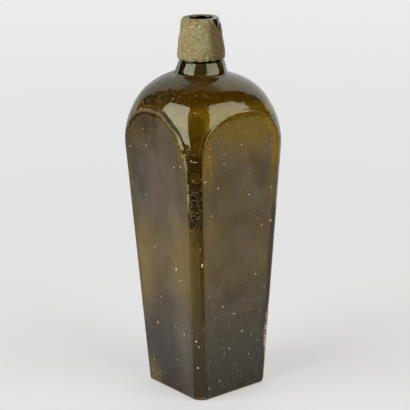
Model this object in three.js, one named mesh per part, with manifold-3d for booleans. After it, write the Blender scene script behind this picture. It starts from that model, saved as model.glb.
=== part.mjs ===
// An antique case bottle for gin, made to stand close-packed with others in a wooden chest.
// It is blown in a square, tapering mould: four flat panels lean outward from the foot and end in
// round arches under a free-blown shoulder. A collar of hot glass is laid on round the neck, and a
// weathered crust, all that is left of the seal, still covers the collar's side.
// Millimetres, +Z up, with the origin at the centre of the foot and a panel facing -Y.

import * as THREE from 'three';
import Module from 'manifold-3d';
import { mergeVertices } from 'three/addons/utils/BufferGeometryUtils.js';

const wasm = await Module();
wasm.setup();

// Driving sizes of the blown body
const bottleHeight = 270;        // foot to the top of the mouth
const footWidth = 65;            // across the panels at the foot
const shoulderWidth = 85;        // across the panels, level with the centre of the round shoulder
const footCorner = 42;           // axis to the rounded corner at the foot
const shoulderRadius = 55.6;     // axis to the corners where the shoulder is widest
const shoulderRound = 51.1;      // radius of the shoulder's own curve, from the corners to the neck
const heelRadius = 2.6;          // rounding between foot and sides
const footSquareness = 0.12;     // how far the plan's sides fall short of a circle, as a share
const shoulderSquareness = 0.19; // the same at the shoulder, above which the plan turns round
const squarenessFade = 1.2;      // how quickly it turns round: 1 is steady, more is sooner
const neckRadius = 16;           // outside of the neck at the collar
const neckLength = 8.2;          // from the collar down to the shoulder
const neckFlare = 0.3;           // how much wider the neck gets for each millimetre down
const neckFillet = 5;            // hollow curve where the neck leaves the shoulder
const wallThickness = 4;         // sides and shoulder
const floorThickness = 7;        // foot, at the heel and over the kick
const floorCorner = 6;           // rounding inside, between floor and sides
const kickDepth = 5;             // how far the foot is pushed up
const kickRadius = 22;           // the push-up's edge in the foot

// Driving sizes of the mouth
const mouthBore = 17.4;          // diameter of the opening
const neckBore = 22;             // diameter inside, where the neck leaves the shoulder
const neckWall = 2.6;            // glass of the neck where the collar covers it
const collarHeight = 30;         // from the seat on the neck to the top of the mouth
const collarOverlap = 12;        // collar glass above the neck's broken-off end
const collarLowRadius = 15.9;    // collar's widest, near its lower edge
const collarTopRadius = 12.3;    // collar at the mouth
const collarSkirt = 5.8;         // height of the widest place above the seat
const collarEdgeRadius = 15.3;   // collar at the seat
const lipRounding = 0.7;         // softened outer edge of the mouth
const seatClearance = 0.3;       // between pieces that sit on each other

// Driving sizes of the crust and of the place where it has broken away
const crustThickness = 0.6;
const crustRise = 0.7;           // bare collar below the crust
const crustRagged = 0.5;         // how far its lower edge wanders up and down
const tearBearing = -73;         // degrees from +X to the middle of the break
const tearDepth = 9.5;           // how far the break reaches below the mouth
const tearWidth = 13.4;          // across the break at the mouth

// Fineness of the turned forms
const cornerColumns = 12;        // across each corner, between two panels
const collarSteps = 4 * cornerColumns;
const kickSteps = 4 * cornerColumns;
const roundingSteps = 4;         // of the heel, the fillet at the neck and the rounding inside
const archRings = 10;            // from the foot of the panels' arches to their tops
const crownRings = 7;            // from there up to the neck
const ringRise = 30;             // between the rings of the straight sides
const cutMargin = 5;             // how far a cutter runs past what it cuts

const seatHeight = bottleHeight - collarHeight;
const neckEndHeight = bottleHeight - collarOverlap;
const shoulderOffset = shoulderRadius - shoulderRound;
const neckRoot = neckRadius + neckFlare * neckLength;
const shoulderRise = Math.sqrt(shoulderRound ** 2 - (neckRoot - shoulderOffset) ** 2);
const shoulderCentre = seatHeight - neckLength - shoulderRise;
const panelLean = (shoulderWidth - footWidth) / 2 / shoulderCentre;

// The glass has two skins of one form: the outside, and the inside a wall's thickness within it.
const outside = { inset: 0, foot: 0, rounding: heelRadius, neck: neckRadius };
const inside = { inset: wallThickness, foot: floorThickness, rounding: floorCorner, neck: neckBore / 2 };

// Radius of the opening at a height: a cone from the mouth down to the neck's root.
function boreRadius(z) {
  const down = (bottleHeight - z) / collarHeight;
  return (mouthBore + (neckBore - mouthBore) * down) / 2;
}

// A lathe works round Y, so this stands its form up along +Z.
function turned(profile, steps) {
  return new THREE.LatheGeometry(profile, steps).rotateX(Math.PI / 2);
}

// Points on a circle from one angle to another, in degrees, for use in a profile. Where they slow
// down, they come closer together towards the end.
function arc(centreX, centreY, radius, from, to, steps, slowing = false) {
  const points = [];
  for (let i = 0; i <= steps; i++) {
    const share = slowing ? Math.sin(Math.PI / 2 * i / steps) : i / steps;
    const angle = THREE.MathUtils.degToRad(from + (to - from) * share);
    points.push(new THREE.Vector2(centreX + radius * Math.cos(angle), centreY + radius * Math.sin(angle)));
  }
  return points;
}

// A closed geometry as a solid that can be joined and cut.
function solid(geometry) {
  const bare = geometry.clone();
  bare.deleteAttribute('normal');
  bare.deleteAttribute('uv');
  const merged = mergeVertices(bare, 1e-4);
  const corners = merged.index.array;
  const faces = [];
  for (let i = 0; i < corners.length; i += 3) {
    const [a, b, c] = corners.subarray(i, i + 3);
    if (a !== b && b !== c && c !== a) faces.push(a, b, c);
  }
  const mesh = new wasm.Mesh({
    numProp: 3,
    vertProperties: new Float32Array(merged.attributes.position.array),
    triVerts: new Uint32Array(faces),
  });
  return new wasm.Manifold(mesh);
}

// A solid's faces as a geometry.
function shape(body) {
  const mesh = body.getMesh();
  const geometry = new THREE.BufferGeometry();
  geometry.setAttribute('position', new THREE.BufferAttribute(new Float32Array(mesh.vertProperties), 3));
  geometry.setIndex(new THREE.BufferAttribute(new Uint32Array(mesh.triVerts), 1));
  geometry.computeVertexNormals();
  return geometry;
}

// How square the plan is at a height: growing from foot to shoulder, then dying out at the neck.
function squareness(z) {
  if (z < shoulderCentre) {
    return footSquareness + (shoulderSquareness - footSquareness) * Math.max(z, 0) / shoulderCentre;
  }
  const left = Math.max((seatHeight - z) / (seatHeight - shoulderCentre), 0);
  return shoulderSquareness * left ** squarenessFade;
}

// Half the width across the panels at a height, less what the heel's rounding takes off.
function panelDistance(skin, z) {
  const under = Math.min(Math.max(skin.rounding - (z - skin.foot), 0), skin.rounding);
  const heel = skin.rounding - Math.sqrt(skin.rounding ** 2 - under ** 2);
  return footWidth / 2 + panelLean * z - skin.inset - heel;
}

// How far up the round shoulder a panel's arch ends, in degrees: the height at which the shoulder's
// side comes within the panel.
function archTop(skin) {
  const radius = shoulderRound - skin.inset;
  let [below, above] = [0, 90];
  while (above - below > 1e-9) {
    const middle = (below + above) / 2;
    const angle = THREE.MathUtils.degToRad(middle);
    const z = shoulderCentre + radius * Math.sin(angle);
    const side = (shoulderOffset + radius * Math.cos(angle)) * (1 - squareness(z));
    if (side > panelDistance(skin, z)) below = middle;
    else above = middle;
  }
  return above;
}

// Where the hollow curve at the neck's root is centred. It touches the flaring neck and the round of
// the shoulder from outside.
function filletCentre(skin) {
  const out = new THREE.Vector2(1, neckFlare).normalize();
  const down = new THREE.Vector2(neckFlare, -1).normalize();
  const start = new THREE.Vector2(skin.neck - shoulderOffset, seatHeight - shoulderCentre);
  start.addScaledVector(out, neckFillet);
  const reach = shoulderRound - skin.inset + neckFillet;
  const along = start.dot(down);
  const distance = -along - Math.sqrt(along ** 2 - start.lengthSq() + reach ** 2);
  start.addScaledVector(down, distance);
  return start.add(new THREE.Vector2(shoulderOffset, shoulderCentre));
}

// The corner line of a skin: straight up from the foot until it touches the shoulder's curve, on
// round the shoulder, and through a fillet to the neck.
function cornerLine(skin) {
  const radius = shoulderRound - skin.inset;
  const start = footCorner - skin.inset;
  const rise = shoulderCentre - skin.foot;
  const across = start - shoulderOffset;
  const lean = Math.atan2(rise, -across) - Math.asin(radius / Math.hypot(across, rise));
  const touch = THREE.MathUtils.radToDeg(lean) - 90;
  const top = archTop(skin);
  const hollow = filletCentre(skin);
  const meet = THREE.MathUtils.radToDeg(Math.atan2(hollow.y - shoulderCentre, hollow.x - shoulderOffset));
  const neckTurn = THREE.MathUtils.radToDeg(Math.atan(neckFlare));
  return [
    new THREE.Vector2(0, skin.foot),
    ...arc(start - skin.rounding, skin.foot + skin.rounding, skin.rounding, -90, 0, roundingSteps),
    ...arc(shoulderOffset, shoulderCentre, radius, touch, top, archRings, true),
    ...arc(shoulderOffset, shoulderCentre, radius, top, meet, crownRings).slice(1),
    ...arc(hollow.x, hollow.y, neckFillet, 180 + meet, 180 + neckTurn, roundingSteps).slice(1),
  ];
}

// Puts more rings into the long straight stretches of a profile, so that its plan can change there.
function divided(profile) {
  const points = [profile[0]];
  for (let i = 1; i < profile.length; i++) {
    const [a, b] = [profile[i - 1], profile[i]];
    const count = Math.max(Math.ceil(Math.abs(b.y - a.y) / ringRise), 1);
    for (let k = 1; k <= count; k++) points.push(a.clone().lerp(b, k / count));
  }
  return points;
}

// Turns a skin's profile and draws it in to a rounded square with four flat panels. The corners keep
// the turned radius. At each height the columns are gathered between the edges of the panels, so a
// panel is one band of flat faces, and its sides and its arch are the true edges.
function squared(profile, skin) {
  const gap = Math.PI / 2 / (cornerColumns + 1);
  const form = new THREE.LatheGeometry(divided(profile), 4 * (cornerColumns + 1), gap / 2);
  const place = form.rotateX(Math.PI / 2).attributes.position;
  for (let i = 0; i < place.count; i++) {
    const [x, y, z] = [place.getX(i), place.getY(i), place.getZ(i)];
    const corner = Math.hypot(x, y);
    const side = 1 - squareness(z);
    const power = 1 / (0.5 + Math.log2(side));
    const over = Math.max(corner * side / panelDistance(skin, z), 1);
    const edge = Math.atan((over ** power - 1) ** (1 / power));
    const even = Math.atan2(y, x);
    const diagonal = (Math.floor(even / (Math.PI / 2)) + 0.5) * Math.PI / 2;
    const angle = diagonal + (even - diagonal) * (Math.PI / 4 - edge) / (Math.PI / 4 - gap / 2);
    const spread = Math.abs(Math.cos(angle)) ** power + Math.abs(Math.sin(angle)) ** power;
    const radius = corner * side / spread ** (1 / power);
    place.setXY(i, radius * Math.cos(angle), radius * Math.sin(angle));
  }
  return solid(form);
}

// The body's outside, up to the end of the neck, where it fits into the collar.
function outsideForm() {
  const tubeAt = (z) => boreRadius(z) + neckWall;
  return squared([
    ...cornerLine(outside),
    new THREE.Vector2(neckRadius, seatHeight - seatClearance),
    new THREE.Vector2(neckRadius - seatClearance, seatHeight),
    new THREE.Vector2(tubeAt(seatHeight), seatHeight),
    new THREE.Vector2(tubeAt(neckEndHeight), neckEndHeight),
    new THREE.Vector2(0, neckEndHeight),
  ], outside);
}

// The push-up in the foot, raised by a thickness of glass where it shows on the inside.
function kick(raise) {
  const bend = (kickRadius ** 2 + kickDepth ** 2) / (2 * kickDepth);
  const halfAngle = THREE.MathUtils.radToDeg(Math.asin(kickRadius / bend));
  const bottom = raise - cutMargin;
  const cap = arc(0, kickDepth - bend + raise, bend, 90 - halfAngle, 90, roundingSteps * 2);
  cap[cap.length - 1].x = 0;
  const rim = cap[0].x;
  return solid(turned([new THREE.Vector2(0, bottom), new THREE.Vector2(rim, bottom), ...cap], kickSteps));
}

// The space inside, up through the neck and out of the mouth.
function insideSpace() {
  const top = bottleHeight + cutMargin;
  const space = squared([
    ...cornerLine(inside),
    new THREE.Vector2(boreRadius(seatHeight), seatHeight),
    new THREE.Vector2(boreRadius(bottleHeight), bottleHeight),
    new THREE.Vector2(boreRadius(bottleHeight), top),
    new THREE.Vector2(0, top),
  ], inside);
  return space.subtract(kick(floorThickness));
}

function glassBody() {
  return outsideForm().subtract(kick(0)).subtract(insideSpace());
}

// The collar's outline above its seat, grown outward by a thickness.
function collarOutline(grow) {
  return [
    new THREE.Vector2(collarEdgeRadius + grow, 0),
    new THREE.Vector2((collarEdgeRadius + collarLowRadius * 2) / 3 + grow, collarSkirt / 3),
    new THREE.Vector2(collarLowRadius + grow, collarSkirt),
    new THREE.Vector2(collarTopRadius + grow, collarHeight - lipRounding),
  ];
}

// The collar, seen from its own seat: a cone laid over the neck's end, with the bore carried on.
function collarRing() {
  const profile = [
    new THREE.Vector2(0, 0),
    ...collarOutline(0),
    new THREE.Vector2(collarTopRadius - lipRounding, collarHeight),
    new THREE.Vector2(0, collarHeight),
  ];
  const socketTop = collarHeight - collarOverlap + seatClearance;
  const tube = (z) => boreRadius(seatHeight + z) + neckWall + seatClearance;
  const socket = [
    new THREE.Vector2(0, -cutMargin),
    new THREE.Vector2(tube(-cutMargin), -cutMargin),
    new THREE.Vector2(tube(socketTop), socketTop),
    new THREE.Vector2(0, socketTop),
  ];
  const bore = [
    new THREE.Vector2(0, -cutMargin),
    new THREE.Vector2(boreRadius(seatHeight - cutMargin), -cutMargin),
    new THREE.Vector2(boreRadius(bottleHeight + cutMargin), collarHeight + cutMargin),
    new THREE.Vector2(0, collarHeight + cutMargin),
  ];
  return solid(turned(profile, collarSteps))
    .subtract(solid(turned(socket, collarSteps)))
    .subtract(solid(turned(bore, collarSteps)));
}

// The break in the crust: a leaning notch, drawn flat beside the mouth and pushed through the wall.
// Its edge is given as shares of the break's width and depth.
function tear() {
  const edge = [[-0.34, 0.16], [-0.06, 0.55], [0.19, 1], [0.33, 0.62], [0.52, 0.48]];
  const outline = new THREE.Shape([
    new THREE.Vector2(-0.42 * tearWidth, cutMargin),
    ...edge.map(([across, down]) => new THREE.Vector2(across * tearWidth, -down * tearDepth)),
    new THREE.Vector2(0.58 * tearWidth, cutMargin),
  ]);
  const reach = collarLowRadius + crustThickness + cutMargin;
  const notch = new THREE.ExtrudeGeometry(outline, { depth: reach, bevelEnabled: false });
  notch.applyMatrix4(new THREE.Matrix4().makeBasis(
    new THREE.Vector3(0, 1, 0),
    new THREE.Vector3(0, 0, 1),
    new THREE.Vector3(1, 0, 0),
  ));
  notch.rotateZ(THREE.MathUtils.degToRad(tearBearing));
  return solid(notch.translate(0, 0, collarHeight));
}

// The crust, seen from the collar's seat: a thin sleeve with a ragged lower edge and a break.
function crustSleeve() {
  const gap = seatClearance;
  const lift = new THREE.Vector2(0, crustRise);
  const inner = collarOutline(gap);
  const outer = collarOutline(gap + crustThickness);
  inner[0].add(lift);
  outer[0].add(lift);
  const topInner = new THREE.Vector2(inner[3].x, collarHeight);
  const topOuter = new THREE.Vector2(outer[3].x, collarHeight);
  const sleeve = turned([inner[0], outer[0], ...outer.slice(1), topOuter, topInner,
    ...inner.slice(1).reverse(), inner[0]], collarSteps);
  const place = sleeve.attributes.position;
  for (let i = 0; i < place.count; i++) {
    const angle = Math.atan2(place.getY(i), place.getX(i));
    const wander = Math.sin(3 * angle) + Math.sin(7 * angle + 1) / 2;
    const near = Math.max(1 - place.getZ(i) / collarSkirt, 0);
    place.setZ(i, place.getZ(i) + wander * near * crustRagged);
  }
  return solid(sleeve).subtract(tear());
}

const oliveGlass = new THREE.MeshStandardMaterial({ color: 0x3d3418, roughness: 0.3, metalness: 0 });
const collarGlass = new THREE.MeshStandardMaterial({ color: 0x2a2413, roughness: 0.15, metalness: 0 });
const sandyCrust = new THREE.MeshStandardMaterial({ color: 0x8f8465, roughness: 0.95, metalness: 0 });

function named(name, body, material) {
  const mesh = new THREE.Mesh(shape(body), material);
  mesh.name = name;
  return mesh;
}

const bottle = new THREE.Group();
bottle.add(named('glass_body', glassBody(), oliveGlass));

const mouth = new THREE.Group();
mouth.position.z = seatHeight;
mouth.add(named('laid_on_collar', collarRing(), collarGlass));
mouth.add(named('seal_crust', crustSleeve(), sandyCrust));
bottle.add(mouth);

export default bottle;
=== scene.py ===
# %% [markdown]
# # An antique case bottle for gin
# This lesson dresses a plain CAD model of a square, hand-blown bottle so that it looks like the
# real thing: dark olive glass, worn to a satin on its four flat panels and still glossy on the
# shoulder, with a laid-on collar under a weathered crust. The CAD model is the frame. It says how
# large every piece is and where it sits, and nothing here moves or resizes it.

# %% Load the frame
import math
from collections import namedtuple
from functools import reduce

import bpy
import numpy as np
from mathutils import Matrix, Vector
from mathutils.bvhtree import BVHTree


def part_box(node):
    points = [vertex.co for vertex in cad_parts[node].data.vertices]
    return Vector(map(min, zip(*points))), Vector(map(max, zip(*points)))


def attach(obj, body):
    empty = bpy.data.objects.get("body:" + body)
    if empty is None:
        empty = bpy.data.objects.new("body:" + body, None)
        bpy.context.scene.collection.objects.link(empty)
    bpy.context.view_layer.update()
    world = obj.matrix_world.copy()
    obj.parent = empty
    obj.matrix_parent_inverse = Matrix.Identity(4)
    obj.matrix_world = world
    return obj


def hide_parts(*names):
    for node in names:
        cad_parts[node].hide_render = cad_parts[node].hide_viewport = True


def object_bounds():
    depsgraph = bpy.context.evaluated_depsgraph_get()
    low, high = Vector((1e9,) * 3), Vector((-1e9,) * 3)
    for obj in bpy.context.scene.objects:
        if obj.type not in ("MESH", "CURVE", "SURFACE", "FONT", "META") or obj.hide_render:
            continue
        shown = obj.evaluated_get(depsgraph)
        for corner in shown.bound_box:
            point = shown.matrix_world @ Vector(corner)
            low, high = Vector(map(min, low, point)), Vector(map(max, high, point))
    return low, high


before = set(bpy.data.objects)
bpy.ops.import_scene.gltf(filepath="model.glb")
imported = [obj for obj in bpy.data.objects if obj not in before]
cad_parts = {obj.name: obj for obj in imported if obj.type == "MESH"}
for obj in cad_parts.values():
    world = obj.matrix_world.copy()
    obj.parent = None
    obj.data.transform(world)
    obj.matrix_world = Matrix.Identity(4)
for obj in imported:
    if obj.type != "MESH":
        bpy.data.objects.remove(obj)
cad_box = [list(corner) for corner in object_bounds()]
mm = 0.001
neck_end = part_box("glass_body")[1].z
seat_height, bottle_height = [corner.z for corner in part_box("laid_on_collar")]
print("the CAD model is", [round(high - low, 4) for low, high in zip(*cad_box)], "metres")

# %% [markdown]
# ## The camera
# A lens is a number of millimetres on a sensor, so a photograph that is measured well gives its own
# camera back: the lines of the panels and the ellipse of the mouth fix the distance, and the size of
# the bottle in the picture then fixes the lens. The camera stands 1.1 m away, looks down by 16
# degrees and is turned a little about its own axis, as a hand-levelled camera is.

# %% Set up the camera
camera_azimuth = math.radians(-38.50)
camera_elevation = math.radians(16.27)
camera_roll = math.radians(-0.924)
camera_distance = 1098.8 * mm
aim_height = 134.19 * mm
aim_right = 0.77 * mm
lens_length = 134.4
sensor_width = 36


def level_direction(azimuth):
    """A level direction at an azimuth, where 0 is the side of the bottle that faces -Y."""
    return Vector((math.sin(azimuth), -math.cos(azimuth), 0))


def in_scene(name, data):
    """A new object of the scene."""
    thing = bpy.data.objects.new(name, data)
    bpy.context.scene.collection.objects.link(thing)
    return thing


to_camera = level_direction(camera_azimuth)
camera_right = Vector((-to_camera.y, to_camera.x, 0))
camera_back = to_camera * math.cos(camera_elevation) + Vector((0, 0, math.sin(camera_elevation)))
camera = in_scene("camera", bpy.data.cameras.new("camera"))
camera.data.sensor_width = sensor_width
camera.data.lens = lens_length
stand = Vector((0, 0, aim_height)) + camera_right * aim_right + camera_back * camera_distance
camera_turn = camera_back.to_track_quat("Z", "Y").to_matrix() @ Matrix.Rotation(camera_roll, 3, "Z")
camera.matrix_world = Matrix.Translation(stand) @ camera_turn.to_4x4()
bpy.context.scene.camera = camera
bpy.context.scene.view_settings.view_transform = "Standard"
print("the camera stands at", [round(part, 3) for part in stand])

# %% [markdown]
# ## Shader maths as Python
# A material is a tree of nodes, and most of them are plain sums. Wrapping a socket in a small class
# lets Python's own operators add those nodes, so that a mask reads as a formula. Every other kind of
# node comes from one method, which makes its settings first and then fills its sockets.

# %% A wire of a node tree


class Wire:
    """A socket's value on its way through a node tree."""

    def __init__(self, tree, socket=None):
        self.tree = tree
        self.socket = socket

    def node(self, kind, settings=None, sockets=None, output=0):
        """Adds a node of a kind, makes its settings, fills its sockets and gives one output."""
        node = self.tree.nodes.new("ShaderNode" + kind)
        for name, value in (settings or {}).items():
            setattr(node, name, value)
        for name, value in (sockets or {}).items():
            if isinstance(value, Wire):
                self.tree.links.new(value.socket, node.inputs[name])
            else:
                node.inputs[name].default_value = value
        return Wire(self.tree, node.outputs[output]) if node.outputs else node

    def sum(self, operation, *values):
        """A Math node on these values."""
        return self.node("Math", {"operation": operation}, dict(enumerate(values)))

    def __add__(self, other):
        return self.sum("ADD", self, other)

    def __sub__(self, other):
        return self.sum("SUBTRACT", self, other)

    def __rsub__(self, other):
        return self.sum("SUBTRACT", other, self)

    def __mul__(self, other):
        return self.sum("MULTIPLY", self, other)

    def __truediv__(self, other):
        return self.sum("DIVIDE", self, other)

    __radd__ = __add__
    __rmul__ = __mul__

    def highest(self, other):
        return self.sum("MAXIMUM", self, other)

    def lowest(self, other):
        return self.sum("MINIMUM", self, other)

    def rise(self, low, high):
        """0 below low, 1 above high and a smooth climb between them. Swapped, it falls instead."""
        sockets = {"Value": self, "From Min": low, "From Max": high}
        return self.node("MapRange", {"interpolation_type": "SMOOTHSTEP"}, sockets)

    def band(self, centre, outer, inner):
        """1 within an inner distance of a value, and 0 beyond an outer one."""
        return self.sum("ABSOLUTE", self - centre).rise(outer, inner)

    def vector(self, operation, *others, output="Vector"):
        """A Vector Math node on this vector and any others."""
        return self.node("VectorMath", {"operation": operation}, dict(enumerate((self, *others))), output)

    def stretch(self, along):
        """A place with each axis multiplied, for patterns that are longer one way."""
        return self.vector("MULTIPLY", along)

    def shifted(self, offset):
        """A place moved by an amount."""
        return self.vector("ADD", offset)

    def along(self, direction):
        """How far a vector reaches in a direction."""
        return self.vector("DOT_PRODUCT", direction, output="Value")

    def length(self):
        """How long a vector is."""
        return self.vector("LENGTH", output="Value")

    def around(self, centre, reach):
        """1 at a place, falling to 0 at a reach in millimetres that may differ along each axis."""
        offset = self.shifted(tuple(-part for part in centre))
        return offset.stretch(tuple(1 / (part * mm) for part in reach)).length().rise(1.0, 0.25)

    def near(self, centre, reach):
        """The same around a place that is given in millimetres too."""
        return self.around([part * mm for part in centre], reach)

    def towards(self, bearing, inner, outer):
        """1 on the side that faces a bearing, within an angle of it, and 0 beyond a wider one."""
        facing = (math.cos(math.radians(bearing)), math.sin(math.radians(bearing)), 0.0)
        share = self.stretch((1.0, 1.0, 0.0)).vector("NORMALIZE").along(facing)
        return share.rise(math.cos(math.radians(outer)), math.cos(math.radians(inner)))

    def axis(self, name):
        """One of the coordinates of a place, or one of the channels of a colour."""
        return self.node("SeparateXYZ", sockets={"Vector": self}, output=name)

    def noise(self, scale, detail=2.0, roughness=0.5):
        """Cloudy noise at a place: scale is in patterns per metre."""
        sockets = {"Vector": self, "Scale": scale, "Detail": detail, "Roughness": roughness}
        return self.node("TexNoise", sockets=sockets)

    def cells(self, scale, output="Distance"):
        """Distance to the nearest of many scattered points, or the colour of that point."""
        return self.node("TexVoronoi", sockets={"Vector": self, "Scale": scale}, output=output)

    def colours(self, one, other):
        """A colour between two, where this wire is the share of the second."""
        return self.node("Mix", {"data_type": "RGBA"}, {0: self, 6: one, 7: other}, output=2)


print("a wire knows", len([name for name in vars(Wire) if name[0] != "_"]), "kinds of nodes and masks")

# %% Colours, masks in a row and surfaces


def shade(red, green, blue):
    """A linear colour from the 0 to 255 values that a picture shows."""
    linear = []
    for level in (red, green, blue):
        share = level / 255
        linear.append(share / 12.92 if share <= 0.04045 else ((share + 0.055) / 1.055) ** 2.4)
    return (*linear, 1.0)


def new_material(name):
    """An empty material, the wire that its nodes start from, and the place on the object."""
    material = bpy.data.materials.new(name)
    material.use_nodes = True
    material.node_tree.nodes.clear()
    start = Wire(material.node_tree)
    return material, start, start.node("TexCoord", output="Object")


def kept_value(start, name):
    """A number that each point of the mesh carries under a name."""
    return start.node("Attribute", {"attribute_name": name}, output="Fac")


def highest_of(masks):
    """The highest of several masks at each place."""
    return reduce(Wire.highest, masks)


def soft_spots(place, spots):
    """The strongest of several soft spots, each a strength, a centre and a reach in millimetres."""
    return highest_of([strength * place.near(centre, reach) for strength, centre, reach in spots])


def layered(colour, layers):
    """A colour under others, each laid over the last as far as its mask says."""
    for mask, over in layers:
        colour = mask.colours(colour, over if isinstance(over, Wire) else shade(*over))
    return colour


def bumped(start, strength, distance, height):
    """The normal of a surface whose height is a wire."""
    return start.node("Bump", sockets={"Strength": strength, "Distance": distance, "Height": height})


def matt(start, colour, roughness, specular=0.5, **more):
    """A surface that lets no light through."""
    sockets = {"Base Color": colour, "Roughness": roughness, "Specular IOR Level": specular, **more}
    return start.node("BsdfPrincipled", sockets=sockets)


def mixed(start, share, one, other):
    """Two surfaces, where the share is that of the second."""
    return start.node("MixShader", sockets={0: share, 1: one, 2: other})


print("mid grey is", round(shade(128, 128, 128)[0], 3), "of full light")

# %% [markdown]
# ## The studio
# Glass has almost no colour of its own surface, and what it shows is the room. Two tall soft lights
# stand left and right, a pale backdrop hangs behind, and the room in front, where the photographer
# stands, is dark. A smooth shoulder mirrors all of that, so the lights have a real size and place.
# They hang far enough away to light the floor evenly. The backdrop bends forward overhead and gets
# darker there, which the round of the shoulder shows as a faint band under the neck.

# %% Hang the two soft lights
light_distance = 2.2
light_top = 1.73


def soft_light(name, facing, from_azimuth, to_azimuth, radiance, tint):
    """A light as a standing rectangle. Its plane faces the bottle from one azimuth, and it reaches
    from one azimuth to another. Its top is a share of its distance."""
    out = level_direction(math.radians(facing))
    along = Vector((-out.y, out.x, 0))
    start = light_distance * math.tan(math.radians(from_azimuth - facing))
    end = light_distance * math.tan(math.radians(to_azimuth - facing))
    width = abs(end - start)
    height = light_distance * light_top
    light = in_scene(name, bpy.data.lights.new(name, "AREA"))
    light.data.shape = "RECTANGLE"
    light.data.size = width
    light.data.size_y = height
    light.data.energy = radiance * math.pi * width * height
    light.data.color = tint
    light.visible_camera = False
    middle = out * light_distance + along * (start + end) / 2 + Vector((0, 0, height / 2))
    light.matrix_world = Matrix.Translation(middle) @ out.to_track_quat("Z", "Y").to_matrix().to_4x4()
    print(name, "is", round(width, 2), "by", round(height, 2), "m")


left_tint, right_tint = (0.99, 1.0, 0.99), (1.0, 0.965, 0.85)
soft_light("soft_light_left", facing=-74, from_azimuth=-75, to_azimuth=-131, radiance=4.1, tint=left_tint)
soft_light("soft_light_right", facing=-8, from_azimuth=-8, to_azimuth=48, radiance=3.3, tint=right_tint)

# %% Light the room from the backdrop
background_grey = shade(229, 229, 229)
dark_room = (0.012, 0.011, 0.010, 1.0)
backdrop_glow = (1.05, 1.05, 1.04, 1.0)
left_end, right_end, end_blur = 1.10, 1.54, 0.04
front_from, front_to = 0.20, 0.26
overhead_glow, overhead_from, overhead_to = 0.24, 0.93, 0.79
middle_glow, more_to_right = 0.80, 0.33

world = bpy.data.worlds.new("room")
bpy.context.scene.world = world
world.use_nodes = True
world.node_tree.nodes.clear()
room = Wire(world.node_tree)
look = room.node("TexCoord", output="Generated")
away = look.along(-to_camera)
aside = look.along(camera_right)
within_right = (right_end * away - aside).rise(-end_blur, end_blur)
within_left = (left_end * away + aside).rise(-end_blur, end_blur)
overhead = overhead_glow + (1 - overhead_glow) * look.axis("Z").rise(overhead_from, overhead_to)
on_backdrop = within_right * within_left * away.rise(front_from, front_to) * overhead
on_backdrop = on_backdrop * (middle_glow + more_to_right * aside)
rays = room.node("LightPath", output="Is Camera Ray")
seen = rays.highest(Wire(room.tree, rays.socket.node.outputs["Is Transmission Ray"]))
colour = seen.colours(on_backdrop.colours(dark_room, backdrop_glow), background_grey)
background = room.node("Background", sockets={"Color": colour, "Strength": 1.0})
room.node("OutputWorld", sockets={"Surface": background})
print("the room has", len(world.node_tree.nodes), "nodes")

# %% [markdown]
# ## The table
# The bottle stands on a pale table. Near its foot the table has to be real, because it carries the
# shadow and the amber light that comes through the glass. Far away the photograph shows only an even
# pale grey, so for the camera's own rays the table turns into that grey with distance. The table ends
# a foot in front of the bottle and darkens towards that edge, and the glass mirrors it, so a second,
# wider floor lies around it, which mirrors can't see.

# %% The table's finish
table_front = 330 * mm
table_half = 610 * mm
table_back = 1500 * mm
floor_reach = 6.0
table_grey = (0.83, 0.83, 0.83, 1.0)
darker_front = (0.20, 0.20, 0.19, 1.0)
least_even = 0.5
even_from, even_to = 20 * mm, 480 * mm
darker_from, darker_to = 80 * mm, 320 * mm
pale_from, pale_to = 200 * mm, 2.1
near_grey = shade(226, 226, 227)
far_grey = shade(236, 236, 236)


def table_material():
    """Matt and pale near the bottle, and an even grey for the camera further away."""
    material, start, place = new_material("pale_table")
    distance = place.length()
    camera_ray = start.node("LightPath", output="Is Camera Ray")
    far = (least_even + (1 - least_even) * distance.rise(even_from, even_to)) * camera_ray
    # Darker towards the front edge, which the glass mirrors.
    top = place.along(to_camera).rise(darker_from, darker_to).colours(table_grey, darker_front)
    pale = distance.rise(pale_from, pale_to).colours(near_grey, far_grey)
    even = start.node("Emission", sockets={"Color": pale, "Strength": 1.0})
    surface = mixed(start, far, matt(start, top, 0.6, 0.3), even)
    start.node("OutputMaterial", sockets={"Surface": surface})
    return material


table_finish = table_material()
print("the table has", len(table_finish.node_tree.nodes), "nodes")

# %% Lay the table and the floor around it


def flat_sheet(name, near_edge, far_edge, left, right):
    """A level sheet between two distances along the view and two to its right."""
    points = []
    for along, across in ((near_edge, left), (near_edge, right), (far_edge, right), (far_edge, left)):
        place = camera_right * across - to_camera * along
        points.append((place.x, place.y, 0))
    mesh = bpy.data.meshes.new(name)
    mesh.from_pydata(points, [], [range(4)])
    mesh.materials.append(table_finish)
    sheet = in_scene(name, mesh)
    return sheet


flat_sheet("table", -table_front, table_back, -table_half, table_half)
around_the_table = {
    "floor_0_0": (-floor_reach, -table_front, -floor_reach, floor_reach),
    "floor_1_0": (-table_front, table_back, -floor_reach, -table_half),
    "floor_1_1": (-table_front, table_back, table_half, floor_reach),
    "floor_2_0": (table_back, floor_reach, -floor_reach, floor_reach),
}
for name, edges in around_the_table.items():
    flat_sheet(name, *edges).visible_glossy = False
print("the table lies among", len(around_the_table), "sheets of floor")

# %% [markdown]
# ## The blown body
# The bottle was blown into a square, tapering mould, so its corners are rounded and its four panels
# are flat, while the shoulder above the mould was left free and stayed round. Where the round shoulder
# meets a flat panel there is a soft arch. One could cut that shape from a cube and bevel it, but then
# the arches would be guesses. Here it is made the way it came about: the plan at each height is a
# rounded square that turns into a circle towards the neck, and four planes cut it. The arches come by
# themselves, and a soft minimum rounds them as hot glass does.

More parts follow.
